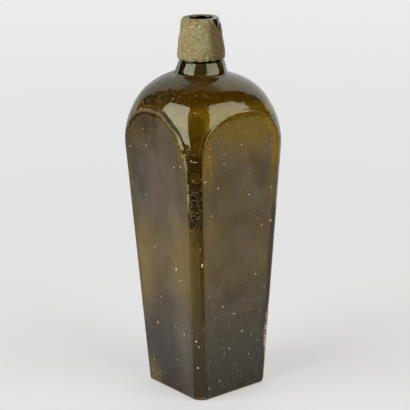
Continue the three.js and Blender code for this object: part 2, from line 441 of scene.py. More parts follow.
# %% The body's sizes
foot_width = 65 * mm
shoulder_width = 85 * mm
foot_corner = 42 * mm
shoulder_radius = 55.6 * mm
shoulder_round = 51.1 * mm
heel_radius = 2.6 * mm
foot_squareness = 0.12
shoulder_squareness = 0.19
squareness_fade = 1.2
neck_radius = 16 * mm
neck_length = 8.2 * mm
neck_flare = 0.3
neck_fillet = 3 * mm
wall_thickness = 4 * mm
floor_thickness = 7 * mm
floor_corner = 6 * mm
kick_depth = 5 * mm
kick_radius = 22 * mm
mouth_bore = 17.4 * mm
neck_bore = 22 * mm
neck_wall = 2.6 * mm
collar_height = bottle_height - seat_height
shoulder_offset = shoulder_radius - shoulder_round
neck_root = neck_radius + neck_flare * neck_length
shoulder_rise = math.sqrt(shoulder_round**2 - (neck_root - shoulder_offset) ** 2)
shoulder_centre = seat_height - neck_length - shoulder_rise
panel_lean = (shoulder_width - foot_width) / 2 / shoulder_centre
print("the shoulder is centred", round(shoulder_centre / mm, 2), "mm up")

# %% The plan at each height
# One of the two surfaces of the glass: how far inside the outline it lies, where its floor is, how its
# lower corner is rounded, how wide its neck is and how soft the edges of its panels are.
Skin = namedtuple("Skin", "inset floor rounding neck crease")
outside = Skin(0, 0, heel_radius, neck_radius, 0.32 * mm)
inside = Skin(wall_thickness, floor_thickness, floor_corner, neck_bore / 2, 1.2 * mm)


def squareness(height):
    """How far the sides of the plan fall short of a circle, as a share."""
    growth = (shoulder_squareness - foot_squareness) * np.clip(height, 0, None) / shoulder_centre
    left = np.clip((seat_height - height) / (seat_height - shoulder_centre), 0, None)
    fading = shoulder_squareness * left**squareness_fade
    return np.where(height < shoulder_centre, foot_squareness + growth, fading)


def panel_distance(skin, height):
    """From the axis to the panels' planes, less what the heel's rounding takes off."""
    under = np.clip(skin.rounding - (height - skin.floor), 0, skin.rounding)
    heel = skin.rounding - np.sqrt(skin.rounding**2 - under**2)
    return foot_width / 2 + panel_lean * height - skin.inset - heel


def bore_radius(height):
    """The opening is a cone, narrowest at the mouth."""
    return (mouth_bore + (neck_bore - mouth_bore) * (bottle_height - height) / collar_height) / 2


print("across the panels at the foot:", round(2 * float(panel_distance(outside, 3 * mm)) / mm, 1))

# %% Curves


def arc(centre, radius, start, end, count=400):
    """Points on a circle, from one angle to another."""
    angles = np.linspace(start, end, count)
    return centre + radius * np.column_stack([np.cos(angles), np.sin(angles)])


def full_turn(count):
    """Evenly spaced angles, once round."""
    return np.linspace(0, 2 * math.pi, count, endpoint=False)


def bell(value, centre, reach):
    """A smooth hill of height 1 around a value."""
    return np.exp(-(((value - centre) / reach) ** 2))


def smooth(value, start, end):
    """A smooth climb from 0 at the start to 1 at the end."""
    share = np.clip((value - start) / (end - start), 0, 1)
    return share * share * (3 - 2 * share)


def turned(radius, turn, height):
    """Points at distances from the axis, at angles round it and at heights."""
    return np.stack(np.broadcast_arrays(radius * np.cos(turn), radius * np.sin(turn), height), axis=-1)


def resampled(line, count, places):
    """The points of a line at places along a running count."""
    return np.column_stack([np.interp(places, count, line[:, part]) for part in (0, 1)])


print("half way up a smooth climb:", smooth(0.5, 0, 1))

# %% The line of the corners
swell_size, swell_height, swell_reach = 0.95 * mm, 219.5 * mm, 9.5 * mm


def fillet_centre(skin):
    """The hollow curve at the neck's root touches the flaring neck and the round of the shoulder."""
    slope = math.hypot(1, neck_flare)
    out, down = np.array([1, neck_flare]) / slope, np.array([neck_flare, -1]) / slope
    start = np.array([skin.neck - shoulder_offset, seat_height - shoulder_centre]) + out * neck_fillet
    reach = shoulder_round - skin.inset + neck_fillet
    along = start @ down
    start = start - down * (along + math.sqrt(along**2 - start @ start + reach**2))
    return start + (shoulder_offset, shoulder_centre)


def corner_line(skin):
    """The outline through the corners, as distances from the axis and heights: round the heel,
    straight up to the shoulder's curve, round that and through the fillet to the neck. The
    shoulder swelled a little where it was blown free."""
    radius = shoulder_round - skin.inset
    start = foot_corner - skin.inset
    across = start - shoulder_offset
    rise = shoulder_centre - skin.floor
    touch = math.atan2(rise, -across) - math.asin(radius / math.hypot(across, rise)) - math.pi / 2
    hollow = fillet_centre(skin)
    meet = math.atan2(hollow[1] - shoulder_centre, hollow[0] - shoulder_offset)
    line = np.vstack([
        arc((start - skin.rounding, skin.floor + skin.rounding), skin.rounding, -math.pi / 2, 0),
        arc((shoulder_offset, shoulder_centre), radius, touch, meet),
        arc(hollow, neck_fillet, math.pi + meet, math.pi + math.atan(neck_flare)),
    ])
    line[:, 0] += swell_size * bell(line[:, 1], swell_height, swell_reach)
    return line


def spaced(line, gaps):
    """Points along a line, as far apart as gaps says for each height. Both are in millimetres."""
    steps = np.hypot(*np.diff(line, axis=0).T)
    heights, widths = np.array(gaps).T * mm
    middle = (line[1:, 1] + line[:-1, 1]) / 2
    count = np.concatenate([[0], np.cumsum(steps / np.interp(middle, heights, widths))])
    return resampled(line, count, np.linspace(0, count[-1], math.ceil(count[-1]) + 1))


outer_gaps = [
    (0, 0.35), (3, 0.4), (8, 1.9), (140, 1.9), (160, 0.9), (200, 0.75),
    (207, 0.45), (211, 0.45), (215, 0.8), (228, 1.0), (240, 0.7),
]
outer_line = spaced(corner_line(outside), outer_gaps)
inner_line = spaced(corner_line(inside), [(0, 2.6), (240, 2.6)])
print("the outside has", len(outer_line), "rings, the inside", len(inner_line))

# %% How the body is uneven
bead_height, bead_width, bead_depth = 0.18 * mm, 0.30 * mm, 0.25 * mm
bead_from, bead_rise = 150 * mm, 30 * mm
shoulder_lift, lift_from, lift_to = 0.2 * mm, 150 * mm, 200 * mm
slump, slump_height, slump_reach = 1.0 * mm, 231 * mm, 4.5 * mm
neck_lean, lean_height, lean_reach = 0.4 * mm, 233.5 * mm, 4.2 * mm
high_side = math.atan2(-camera_right.y, -camera_right.x)
flat_size, flat_height = 1.5 * mm, 204 * mm
flat_bearing, flat_spread = math.radians(-157), math.radians(10)
flat_slant = math.radians(0.65) / mm
flat_heights = (170, 188, 202, 215)
upper_corner, upper_heights = 1.7 * mm, (122, 136, 192, 206)
low_corner, low_from, low_to = 0.8 * mm, 84 * mm, 50 * mm
neck_root_wall, root_drop, root_heights = 1.9 * mm, 2.9 * mm, (206, 224, 228, 239)
corner_sharpness = 4


def hump(value, start, full, fading, end):
    """A smooth climb from start to full, then a smooth fall from fading to end, in millimetres."""
    return smooth(value, start * mm, full * mm) * smooth(value, end * mm, fading * mm)


def lopsided(line, height, turn):
    """How much further out the glass stands, because one side was blown a little higher, the
    neck's root leans to that side, and the corner beside the left arch is flatter."""
    share = np.cos(turn - high_side)
    slumped = slump * bell(height, slump_height, slump_reach) * np.maximum(-share, 0)
    lower = height - shoulder_lift * smooth(height, lift_from, lift_to) * share + slumped
    lifted = np.interp(lower, line[:, 1], line[:, 0]) - np.interp(height, line[:, 1], line[:, 0])
    leaning = neck_lean * bell(height, lean_height, lean_reach) * share
    beside = np.angle(np.exp(1j * (turn - flat_bearing - flat_slant * (flat_height - height))))
    flatter = flat_size * hump(height, *flat_heights) * bell(beside, 0, flat_spread)
    return lifted + leaning - flatter


def bead(height):
    """The raised bead shows along the arches and dies out down the panels' sides."""
    return bead_height * np.clip((height - bead_from) / bead_rise, 0, 1)


def thickened(rings):
    """The inside as it was blown: the glass is thicker in the corners and at the neck's root."""
    turn = np.arctan2(rings[..., 1], rings[..., 0])
    height = rings[..., 2]
    root = hump(height, *root_heights)
    corner = upper_corner * hump(height, *upper_heights) + low_corner * smooth(height, low_from, low_to)
    corner = corner * np.abs(np.sin(2 * turn)) ** corner_sharpness
    radius = np.hypot(rings[..., 0], rings[..., 1])
    return turned(radius - corner - neck_root_wall * root, turn, height - root_drop * root)


print("the bead stands", round(bead_height / mm, 2), "mm high")

# %% Rings of the body
quarter_columns = 64
panel_share = 0.66
crowding = 0.55
least_edge = math.radians(9)
widest = cad_box[1][0] - 0.03 * mm


def column_angles(edge):
    """Angles from a panel's middle for one quarter of a ring. The columns crowd together near the
    panel's edge, where the surface bends, and run on to the corners."""
    share = np.linspace(-1, 1, quarter_columns + 1)[:-1]
    within = np.abs(share) / panel_share
    beyond = (np.abs(share) - panel_share) / (1 - panel_share)
    on_panel = edge * ((1 - crowding) * within + crowding * (1 - (1 - within) ** 2))
    left = math.pi / 4 - edge
    on_corner = edge + left * (crowding * beyond + (1 - crowding) * beyond**2)
    return np.sign(share) * np.where(within < 1, on_panel, on_corner)


def squared_rings(skin, line):
    """The points of a skin, ring by ring, and how deep each lies behind the round form there."""
    radius, height = line[:, :1], line[:, 1:]
    side = 1 - squareness(height)
    power = 1 / (0.5 + np.log2(side))
    distance = np.minimum(panel_distance(skin, height), widest)
    over = np.maximum(radius * side / distance, 1)
    edge = np.arctan((over**power - 1) ** (1 / power))
    turn = column_angles(np.maximum(edge, least_edge))
    whole_turn = np.concatenate([turn + quarter * math.pi / 2 for quarter in range(4)], axis=1)
    turn = np.tile(turn, 4)
    spread = (np.abs(np.cos(turn)) ** power + np.abs(np.sin(turn)) ** power) ** (1 / power)
    round_form = (radius + lopsided(line, height, whole_turn)) * side / spread
    panel = distance / np.cos(turn)
    depth = round_form - panel
    blend = np.clip(skin.crease - np.abs(depth), 0, None)
    reach = np.minimum(round_form, panel) - blend**2 / (4 * skin.crease)
    if skin is outside:
        reach = np.minimum(reach + bead(height) * bell(depth, -bead_depth, bead_width), panel)
    return turned(reach, whole_turn, height), depth


outer_rings, outer_depth = squared_rings(outside, outer_line)
inner_rings = thickened(squared_rings(inside, inner_line)[0])
columns = outer_rings.shape[1]
print("a ring has", columns, "points; the panels reach", round(outer_depth.max() / mm, 2), "mm in")

# %% Close the body: foot, push-up, neck and the way back inside
foot_gap, inside_gap = 1.5 * mm, 3 * mm
kick_rim = 14 * mm
neck_edge = 0.3 * mm
neck_steps = 8


def kick_height(radius):
    """The push-up in the foot is part of a sphere."""
    sphere = (kick_radius**2 + kick_depth**2) / (2 * kick_depth)
    return kick_depth - sphere + np.sqrt(sphere**2 - radius**2)


def floor_rings(skin, first_ring, gap):
    """From the middle of the floor outward: over the push-up, then blending from its round edge to
    the square plan of the first ring."""
    turn = np.arctan2(first_ring[:, 1], first_ring[:, 0])
    radius = np.linspace(0, kick_radius, round(kick_radius / gap) + 1)[1:, None]
    push_up = turned(radius, turn, skin.floor + kick_height(radius))
    share = np.linspace(0, 1, round(kick_rim / gap) + 1)[1:-1, None, None]
    return np.concatenate([push_up, push_up[-1] * (1 - share) + first_ring * share])


def round_rings(path):
    """Round rings, whose columns follow on from those of the body, at distances and heights."""
    turn = np.arctan2(outer_rings[-1, :, 1], outer_rings[-1, :, 0])
    return np.array([turned(radius, turn, height) for radius, height in path])


neck_heights = np.linspace(seat_height, neck_end, neck_steps)
neck_outside = [(neck_radius, seat_height - neck_edge), (neck_radius - neck_edge, seat_height)]
neck_outside += [(bore_radius(height) + neck_wall, height) for height in neck_heights]
neck_inside = [(bore_radius(height), height) for height in neck_heights[::-1]]
ring_sets = [
    floor_rings(outside, outer_rings[0], foot_gap),
    outer_rings,
    round_rings(neck_outside),
    round_rings(neck_inside),
    inner_rings[::-1],
    floor_rings(inside, inner_rings[0], inside_gap)[::-1],
]
ring_starts = np.cumsum([0] + [len(rings) for rings in ring_sets]) * columns
print(len(np.concatenate(ring_sets)), "rings in all")

# %% Sew rings of points together


def sewn(rings, first_pole=None, last_pole=None):
    """The points and faces of closed rings, with a fan to a pole at either end if one is given."""
    count = rings.shape[1]
    points = rings.reshape(-1, 3)
    here = np.arange(count)
    after = np.roll(here, -1)
    top = (len(rings) - 1) * count
    faces = []
    for low in range(0, top, count):
        high = low + count
        faces += np.column_stack([here + low, after + low, after + high, here + high]).tolist()
    if first_pole is not None:
        faces += [[after[i], here[i], len(points)] for i in range(count)]
        points = np.vstack([points, first_pole])
    if last_pole is not None:
        faces += [[here[i] + top, after[i] + top, len(points)] for i in range(count)]
        points = np.vstack([points, last_pole])
    return points, faces


def together(parts):
    """The points and faces of several parts as those of one."""
    faces = []
    count = 0
    for part_points, part_faces in parts:
        faces += [[corner + count for corner in face] for face in part_faces]
        count += len(part_points)
    return np.vstack([points for points, _ in parts]), faces


def piece_of(name, points, faces):
    """A smooth-shaded object with these points and faces."""
    mesh = bpy.data.meshes.new(name)
    mesh.from_pydata(points, [], faces)
    mesh.update()
    mesh.polygons.foreach_set("use_smooth", [True] * len(mesh.polygons))
    print(name, "has", len(mesh.polygons), "faces")
    return in_scene(name, mesh)


def keep_value(piece, name, values):
    """Keeps a number for each point of a piece, which its material can look up by name."""
    piece.data.attributes.new(name, "FLOAT", "POINT").data.foreach_set("value", values)


body_part = sewn(np.concatenate(ring_sets), (0, 0, kick_depth), (0, 0, floor_thickness + kick_depth))
print("the wall of the body has", len(body_part[0]), "points")

# %% Find a place on the outside
front_corner = -134.0
slope_step = 3


def outside_place(bearing, height):
    """The point of the outside at a bearing and a height, and the direction straight out of it."""
    low = np.searchsorted(outer_line[:, 1], height) - 1
    share = (height - outer_line[low, 1]) / (outer_line[low + 1, 1] - outer_line[low, 1])
    ring = outer_rings[low] * (1 - share) + outer_rings[low + 1] * share
    turn = np.arctan2(ring[:, 1], ring[:, 0])
    nearest = int(np.argmin(np.abs(np.angle(np.exp(1j * (turn - math.radians(bearing)))))))
    before, after = ring[nearest - slope_step], ring[(nearest + slope_step) % len(ring)]
    up = outer_rings[low + slope_step, nearest] - outer_rings[low - slope_step, nearest]
    return Vector(ring[nearest]), Vector(np.cross(after - before, up)).normalized()


def front_place(height):
    """A place on the front corner, at a height in millimetres."""
    return outside_place(front_corner, height * mm)[0]


def upright_axes(outward):
    """The axes of a small thing on the glass: level, upright and straight out."""
    across = Vector((0, 0, 1)).cross(outward).normalized()
    return np.array([across, outward.cross(across), outward])


print("the front corner at 169 mm:", [round(part, 4) for part in front_place(169)])

# %% [markdown]
# ## Bubbles
# Hot, hand-stirred glass holds air, which stretches upward as the bottle is blown. A large flat bubble
# sits in the front corner, and small ones are scattered everywhere. One could paint them, but a real
# hollow bends the light by itself. Each is a small closed skin within the wall, and its faces look
# into the hollow, as the inside of the bottle does.

# %% Put bubbles in the glass
small_bubbles = 70
bubble_rings = 7
bubble_columns = 14


def bubble(centre, outward, width, height, thickness):
    """A flat, empty bubble within the wall."""
    axes = upright_axes(outward)
    angles = np.linspace(0, math.pi, bubble_rings + 2)[1:-1, None]
    turn = full_turn(bubble_columns)
    size = np.array([width, height, thickness]) / 2
    rings = turned(np.sin(angles), turn, np.cos(angles)) * size
    poles = np.array([(0, 0, 1), (0, 0, -1)]) * size
    return sewn(rings @ axes + centre, *(poles @ axes + centre))


# Each has a bearing, a height, a width, a length, a thickness and a depth below the surface.
bubbles = [(front_corner, 168.2 * mm, 9.8 * mm, 10.4 * mm, 1.3 * mm, 2.1 * mm)]
chance = np.random.default_rng(7)
for _ in range(small_bubbles):
    size = chance.uniform(0.4, 1.0) * mm
    bubbles.append((
        chance.uniform(-180, 180), chance.uniform(25, 222) * mm,
        size, size * chance.uniform(1, 2.2), size * 0.7, chance.uniform(1.3, 2.6) * mm,
    ))
body_parts = [body_part]
for bearing, height_up, width, length, thickness, below in bubbles:
    place_on, outward = outside_place(bearing, height_up)
    body_parts.append(bubble(place_on - outward * below, outward, width, length, thickness))
body_points, body_faces = together(body_parts)
body = piece_of("olive_body", body_points, body_faces)

# %% What the body's finish needs to know
far_from_panels = -20.0
panel_depth = np.full(len(body_points), far_from_panels)
panel_depth[ring_starts[1]:ring_starts[2]] = outer_depth.ravel() / mm
keep_value(body, "panel_depth", panel_depth)
inner_skin = np.zeros(len(body_points))
inner_skin[ring_starts[3]:ring_starts[-1]] = 1
keep_value(body, "inner_skin", inner_skin)
print(len(bubbles), "bubbles and", int(inner_skin.sum()), "points on the inside")

# %% [markdown]
# ## Olive glass
# The colour of old bottle glass is inside it: iron in the melt swallows blue light and some green over
# every millimetre, so a thin wall is amber and a thick one nearly black. A coloured surface can't do
# that. Here the surface is only faintly stained, and the colour is a Volume Absorption with a density
# per metre, in a real wall with an inside and an outside. Two finishes lie on it. Where the mould
# touched the glass, on the panels, it is satin, with fine upright ribs under a thin grey film. The
# free shoulder is glossy. The depth of the panel behind the round form, kept on the mesh, tells them
# apart, and all that follows are masks that say how much film there is and what colour it has.

# %% Clear glass
glass_colour = (0.62, 0.56, 0.0, 1.0)
glass_density = 420.0
glass_ior = 1.65
glass_stain = (1.0, 0.82, 0.36, 1.0)
mirror_tint = (0.95, 1.0, 0.75, 1.0)


def glass_finish(start, roughness, normal):
    """Glass with a faintly stained surface of some roughness. Most of its colour is its volume's."""
    return start.node("BsdfPrincipled", sockets={
        "Base Color": glass_stain, "Roughness": roughness, "IOR": glass_ior,
        "Transmission Weight": 1.0, "Specular Tint": mirror_tint, "Normal": normal,
    })


def glass_output(start, surface, density):
    """Ends a material of glass with its surface and the colour inside it."""
    inner = start.node("VolumeAbsorption", sockets={"Color": glass_colour, "Density": density})
    start.node("OutputMaterial", sockets={"Surface": surface, "Volume": inner})


print("a metre of glass has a density of", glass_density)

# %% Where the body is satin
body_finish, start, place = new_material("worn_olive_glass")
depth = kept_value(start, "panel_depth")
height = place.axis("Z") / mm
patches = place.noise(62.0, 3.0)
spots = place.noise(260.0, 3.0)
ribs = place.stretch((1.0, 1.0, 0.03)).noise(560.0)
arch = height.rise(176, 204)
top_left = place.near((-43, 12, 208), (12, 36, 32))
far_edge = place.near((33, -42, 192), (20, 16, 40))
ragged = depth + 0.20 + 0.6 * far_edge - 0.75 * arch * (1 - top_left)
satin = (ragged + (spots - 0.5) * (0.15 + 1.2 * arch)).rise(0.0, 0.30)
glossy = 1 - satin
within = depth.rise(0.3, 2.4)
low = height.rise(105, 15)
under_arch = arch * depth.rise(2.0, 0.6)
print("satin takes", len(start.tree.nodes), "nodes")

# %% The film on the panels
# Painted amber light, where light that comes through the glass brightens the panels.
painted_glow = soft_spots(place, [
    (1.0, (-38, -26, 104), (20, 24, 44)),
    (1.0, (-38, 26, 96), (20, 24, 54)),
    (0.5, (-38, 0, 104), (16, 46, 36)),
    (0.8, (-33, 30, 4), (12, 26, 26)),
    (0.6, (-29, -42, 136), (13, 10, 36)),
    (0.6, (28, -39, 104), (13, 10, 60)),
])
# clear is painted amber light on the right panel, at its top and by its edges: more film, of a deep amber.
clear = (0.45 + patches) * soft_spots(place, [
    (1.0, (8, -43, 210), (52, 14, 44)),
    (1.0, (42, -42, 168), (20, 16, 74)),
    (0.7, (-31, -42, 180), (14, 16, 34)),
])
# Painted amber light along the right panel's upper edges and near the front corner.
painted_edge_glow = depth.rise(2.6, 1.2) * soft_spots(place, [
    (1.0, (32, -43, 194), (24, 14, 44)),
    (0.8, (-26, -43, 188), (16, 12, 34)),
])
smudges = soft_spots(place, [
    (1.0, (3, -40, 133), (15, 8, 9)),
    (1.0, (-4, -37, 75), (16, 8, 9)),
])
olive_side = place.near((-43, 28, 190), (12, 18, 26))
# A lighter part of the left panel by the front corner: painted light.
painted_lit_side = place.near((-38, -20, 90), (14, 16, 130))
cover = 0.24 + 0.22 * within + 0.22 * low + 0.30 * (patches - 0.5) + 0.36 * (ribs - 0.5)
cover = cover + 0.22 * clear + 0.12 * under_arch + 0.25 * top_left + 0.32 * painted_edge_glow
print("with the film,", len(start.tree.nodes), "nodes")

# %% Marks along the arches
left_arch = place.near((-43, 2, 208), (14, 50, 42)).rise(0.0, 0.4)
right_arch = place.near((28, -43, 206), (26, 14, 26)).rise(0.0, 0.4)
mottled = under_arch.highest(0.6 * top_left) * place.noise(340.0).rise(0.50, 0.55)
bead_band = left_arch * (depth + 0.16 * (spots - 0.5)).band(0.02, 0.46, 0.32)
under_bead = place.near((-43, 16, 206), (16, 25, 17)).rise(0.0, 0.3) * depth.rise(0.36, 0.46)
under_bead = under_bead * (depth + 2.0 * (place.noise(300.0) - 0.5)).band(0.85, 0.50, 0.30)
beyond_bead = place.near((-42, -18, 196), (14, 26, 24)).rise(0.0, 0.4) * depth.band(-0.90, 0.60, 0.45)
right_bead = right_arch * depth.band(-0.30, 0.60, 0.30)
plain_arch = 1 - left_arch.highest(right_arch)
worn_arch = depth.band(-0.15, 0.34, 0.08) * height.rise(180, 200) * plain_arch
print("with the arches,", len(start.tree.nodes), "nodes")

# %% Chips, dust and wear
chosen = place.cells(400.0, "Color").axis("X").rise(0.66, 0.76)
dust = place.cells(400.0).rise(0.21, 0.08) * chosen
dusty = dust * (0.8 * satin).highest(0.45 * height.rise(160, 185))
front_edge = place.near((-41, -28, 168), (12, 12, 40))
front_chips = depth.band(-0.30, 0.65, 0.25) * front_edge * spots.rise(0.40, 0.52)
# The chipped corner by the right panel: its pale film is a painted glint.
side_edge = place.near((33, -32, 40), (9, 9, 30)).rise(0.0, 0.5)
side_chips_and_glints = side_edge * place.noise(620.0).rise(0.50, 0.56)
worn_edge_and_glints = (worn_arch * spots.rise(0.35, 0.60) * 0.6).highest(0.85 * front_chips.highest(side_chips_and_glints))
smears = glossy * height.rise(160, 175) * place.noise(430.0, 3.0).rise(0.54, 0.64)
# Dark lines down both sides where the glass turns away at the outline: painted shade.
painted_silhouette_shade = place.towards(-44, 8, 11.5) * height.rise(146, 132)
painted_silhouette_shade = painted_silhouette_shade.highest(0.8 * place.towards(134, 5, 8) * height.rise(100, 130))
foot_wear = height.rise(84, 14) * glossy
veil = place.near((-36, 6, 217), (24, 34, 11)) * spots.rise(0.30, 0.65) * depth.rise(-0.2, -0.8)
# Thin pale lines down the neck, near its outline on either side: painted glints.
painted_neck_glints = place.towards(166, 0.5, 3.0).highest(place.towards(-62, 0.5, 3.0)) * height.rise(229, 231)
neck_film = height.rise(228, 233) * place.towards(-127, 9, 17)
print("with the wear,", len(start.tree.nodes), "nodes")

# %% The front edge, with its bubble and crinkled glass
across_edge = (place.axis("Y") - place.axis("X")) / (math.sqrt(2) * mm)
edge_side = across_edge.rise(-1.4, -2.2) * across_edge.rise(-7, -5.5)
edge_side = edge_side * glossy * height.rise(40, 70) * height.rise(150, 134)
in_bubble = place.around(front_place(167.8), (5.5, 5.5, 5.5))
dim = place.around(front_place(162), (16, 16, 36)).rise(0.0, 0.6) * glossy * in_bubble.rise(0.14, 0.04)
fading = place.around(front_place(128), (14, 14, 18)) * glossy * place.noise(800.0).rise(0.50, 0.58)
creases = place.stretch((0.6, 0.6, 1.5)).noise(470.0, 1.0)
# Streaks of the crinkled glass: raised in the relief, and pale in the film as painted glints.
streaks_and_glints = creases.band(0.50, 0.038, 0.004) * place.noise(330.0, 1.0).rise(0.34, 0.46)
crinkle = place.around(front_place(146), (26, 26, 20)) + 0.35 * (spots - 0.5)
crinkle = crinkle.rise(0.05, 0.45) * glossy
# A thin pale crescent at the front edge.
pale_crescent = place.around(front_place(180.2), (3.4, 3.4, 0.6))
print("with the front edge,", len(start.tree.nodes), "nodes")

# %% How much film there is, and the relief
film_amount = highest_of([
    satin * cover, dusty, worn_edge_and_glints, crinkle * (0.70 + 0.22 * streaks_and_glints), 0.8 * pale_crescent, 0.5 * foot_wear,
    0.75 * mottled * satin, 0.3 * veil, 0.85 * bead_band, 0.85 * under_bead, 0.48 * edge_side,
    0.6 * fading, 0.14 * smears, 0.95 * beyond_bead, 0.75 * right_bead, 0.6 * painted_neck_glints,
    0.10 * neck_film, 0.40 * dim, 0.80 * painted_silhouette_shade,
])
waves = place.noise(95.0) + 0.45 * place.noise(330.0)
tool_marks = place.stretch((0.10, 0.10, 1.0)).noise(520.0) * height.rise(212, 224)
relief = ribs * satin * 0.5 + waves * 0.7 + 0.20 * place.noise(900.0) + streaks_and_glints * crinkle * 1.5
normal = bumped(start, 0.35, 0.4 * mm, relief + 0.8 * tool_marks)
glass = glass_finish(start, 0.03 + 0.36 * satin * (1 - 0.7 * under_arch), normal)
print("with the relief,", len(start.tree.nodes), "nodes")

# %% The film's colours, each laid over the last
# stained is painted light: the amber of light that comes through the glass near the panels' edges.
stained = patches.rise(0.3, 0.7).colours(shade(140, 110, 38), shade(112, 90, 42))
haze = layered(patches.rise(0.35, 0.65).colours(shade(71, 58, 51), shade(94, 85, 78)), [
    # Darker towards the foot and darker still at the heel: painted shade, where the panels mirror the shaded
    # table.
    (low, (62, 56, 55)),
    (0.6 * height.rise(30, 2), (46, 39, 32)),
    (0.4 * painted_lit_side, (134, 120, 104)),
])
film_colour = layered((within + low).lowest(1.0).colours(stained, haze), [
    (0.6 * painted_glow, (142, 114, 44)),
    ((1.1 * clear).lowest(0.9), (120, 95, 16)),
    # Under the arches: painted amber light through the thin glass on the right, and a darker olive at the
    # top left.
    ((0.85 * under_arch).highest(0.7 * top_left), top_left.colours(shade(100, 76, 4), shade(58, 46, 24))),
    (0.85 * mottled, (30, 22, 6)),
    ((painted_edge_glow * (0.5 + spots)).lowest(1.0), (124, 99, 18)),
    ((0.85 * olive_side * (0.5 + spots)).lowest(1.0), (84, 66, 18)),
    (under_bead, (34, 25, 6)),
    (bead_band, (98, 84, 58)),
    (beyond_bead, (44, 31, 6)),
    (right_bead, (98, 76, 20)),
    (smears * (1 - right_bead) * (1 - beyond_bead), (140, 124, 74)),
    (edge_side, (66, 48, 22)),
    (fading, (44, 30, 8)),
    (dim, (44, 29, 2)),
    (0.75 * smudges, (44, 42, 41)),
    # The crinkled glass: a dark film with painted glints along its streaks.
    (crinkle, streaks_and_glints.colours(shade(32, 21, 3), shade(130, 106, 62))),
    (pale_crescent, (176, 158, 112)),
    (veil.highest(height.rise(224, 230)), (96, 86, 62)),
    (painted_neck_glints, (190, 180, 156)),
    (foot_wear, (58, 38, 22)),
    (painted_silhouette_shade, (58, 50, 44)),
    # Pale wear on the arches and chipped edges, and painted glints on the side chips.
    (worn_edge_and_glints.rise(0.0, 0.5), (172, 158, 120)),
    (side_chips_and_glints, (214, 210, 200)),
    # Painted amber light along the heel, where light through the glass reaches the table.
    (0.7 * height.rise(3, 1.2), (124, 84, 44)),
    (0.8 * dust, (206, 194, 156)),
])
film = matt(start, film_colour, 0.62, 0.12, Normal=normal)
dregs = matt(start, shade(128, 110, 84), 0.8)
dregs_amount = kept_value(start, "inner_skin") * height.rise(222, 236) * 0.75
glass_output(start, mixed(start, dregs_amount, mixed(start, film_amount, glass, film), dregs), glass_density)
print("the body's finish has", len(start.tree.nodes), "nodes")

# %% Dress the body
body.data.materials.append(body_finish)
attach(body, "root")
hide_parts("glass_body")
print("the body is dressed")

# %% [markdown]
# ## The laid-on collar
# A gatherer laid a ring of hot glass round the cracked-off neck and squeezed it into a cone. Nearly all
# of it hides under the crust, yet its rim and the bare place by the break show dark, wet-looking glass.
# A turned outline gives it: the rim is rounded by the fire, the bore runs on from the neck's, and its
# surface keeps the slow waves of the tool. It needs no mask but one, which lays a pale film on the top
# of the rim: a painted reflection of the backdrop.

# %% The collar's sizes
collar_overlap = bottle_height - neck_end
collar_low_radius = 15.9 * mm
collar_top_radius = 12.3 * mm
collar_skirt = 5.8 * mm
collar_edge_radius = 15.3 * mm
seat_clearance = 0.3 * mm
rim_rounding = 0.9 * mm
rim_cover = 0.25 * mm
tear_bearing = math.radians(-73)
tear_depth = 9.5 * mm
tear_width = 13.4 * mm
collar_columns = 144
collar_step = 0.7 * mm
smoothing_rounds = 12
rim_points = 7
bore_rings = 6
collar_density = 1100.0
wave_size = 0.08 * mm
collar_line = np.array([
    (collar_edge_radius, 0),
    ((collar_edge_radius + 2 * collar_low_radius) / 3, collar_skirt / 3),
    (collar_low_radius, collar_skirt),
    (collar_top_radius, collar_height),
])
print("the collar is", round(collar_height / mm, 1), "mm high")

# %% The collar's rings


def rounded_outline(line, step):
    """The outline drawn through its corners with a soft curve, as hot glass takes it."""
    lengths = np.concatenate([[0], np.cumsum(np.hypot(*np.diff(line, axis=0).T))])
    drawn = resampled(line, lengths, np.linspace(0, lengths[-1], round(lengths[-1] / step) + 1))
    for _ in range(smoothing_rounds):
        drawn[1:-1] = (drawn[:-2] + 2 * drawn[1:-1] + drawn[2:]) / 4
    return drawn


def bare_rim_rise(turn, height):
    """The rim stands a little higher where no crust covers it."""
    near_rim = np.clip((height - collar_height + 3 * mm) / (2 * mm), 0, 1)
    beside = np.clip(1.6 * np.cos(turn - tear_bearing - math.radians(8)) - 0.6, 0, 1)
    return rim_cover * near_rim * beside


def tool_waves(turn, height):
    """The slow unevenness of the collar, which dies out towards its ends."""
    inside_ends = np.clip(np.minimum(height, collar_height - height) / (3 * mm), 0, 1)
    slow = np.sin(3 * turn + 260 * height) + 0.6 * np.sin(5 * turn - 410 * height + 2)
    return -wave_size * inside_ends * (1 + slow / 1.6)


flank = rounded_outline(collar_line, collar_step)
rim_bend = collar_height - rim_cover - rim_rounding
flank = flank[flank[:, 1] < rim_bend]
rim_centre = np.interp(rim_bend, *collar_line[2:, ::-1].T) - rim_rounding
top_bore = bore_radius(bottle_height)
rim_outer = arc((rim_centre, rim_bend), rim_rounding, 0, math.pi / 2, rim_points)
rim_inner = arc((top_bore + rim_rounding, rim_bend), rim_rounding, math.pi / 2, math.pi, rim_points)
socket_top = collar_height - collar_overlap + seat_clearance
bore_heights = np.linspace(rim_bend - 1 * mm, socket_top, bore_rings)
socket_heights = np.linspace(socket_top, 0, bore_rings)
socket_gap = neck_wall + seat_clearance
bore_wall = np.column_stack([bore_radius(seat_height + bore_heights), bore_heights])
socket_wall = np.column_stack([bore_radius(seat_height + socket_heights) + socket_gap, socket_heights])
profile = np.vstack([flank, rim_outer, rim_inner, bore_wall, socket_wall, flank[:1]])
collar_turn = full_turn(collar_columns)
collar_radius = profile[:, :1] + tool_waves(collar_turn, profile[:, 1:])
collar_up = profile[:, 1:] + bare_rim_rise(collar_turn, profile[:, 1:]) + seat_height
collar = piece_of("glass_collar", *sewn(turned(collar_radius, collar_turn, collar_up)))

# %% Dress the collar


